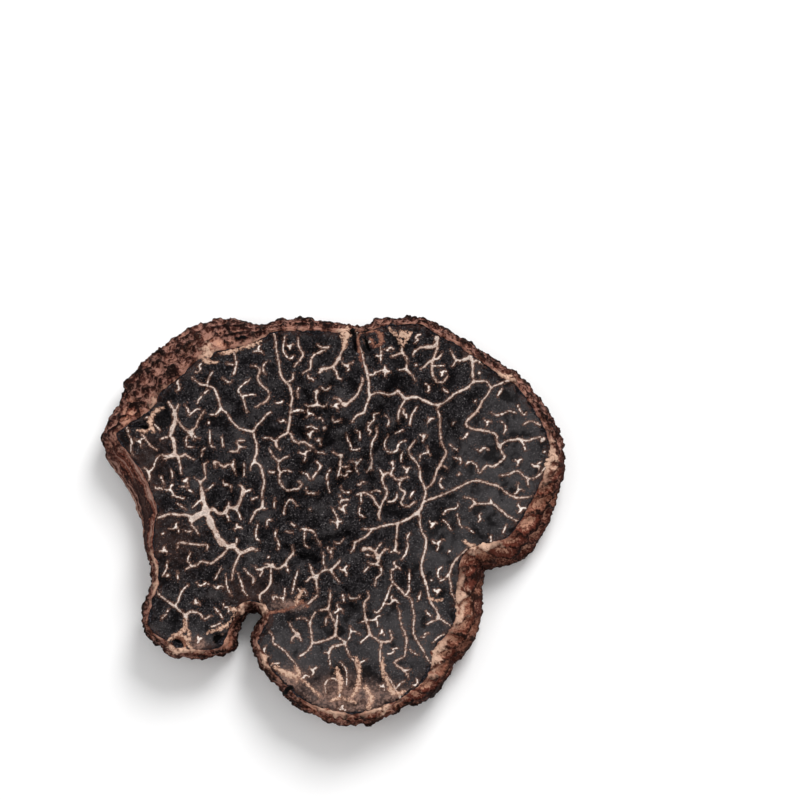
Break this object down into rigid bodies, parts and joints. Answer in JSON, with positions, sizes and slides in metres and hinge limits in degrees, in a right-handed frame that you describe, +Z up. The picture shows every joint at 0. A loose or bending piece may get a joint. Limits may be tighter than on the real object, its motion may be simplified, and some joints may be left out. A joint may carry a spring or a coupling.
{
  "type": "black truffle slice",
  "caption": "Dried slice of black truffle: near-black veined flesh with pale marbling, ringed by a warty reddish-brown skin.",
  "frame": {"origin": "bottom centre of the slice's bounding box, on the surface that it rests on", "axes": "+X along the longest extent, to the right of the lobe with the notch; +Y towards the broad end; +Z up out of the veined face"},
  "size_m": [0.0467, 0.0417, 0.0059],
  "materials": {
    "dried_truffle": "matte"
  },
  "bodies": {
    "root": {"truffle_slice": "dried_truffle"}
  },
  "joints": []
}
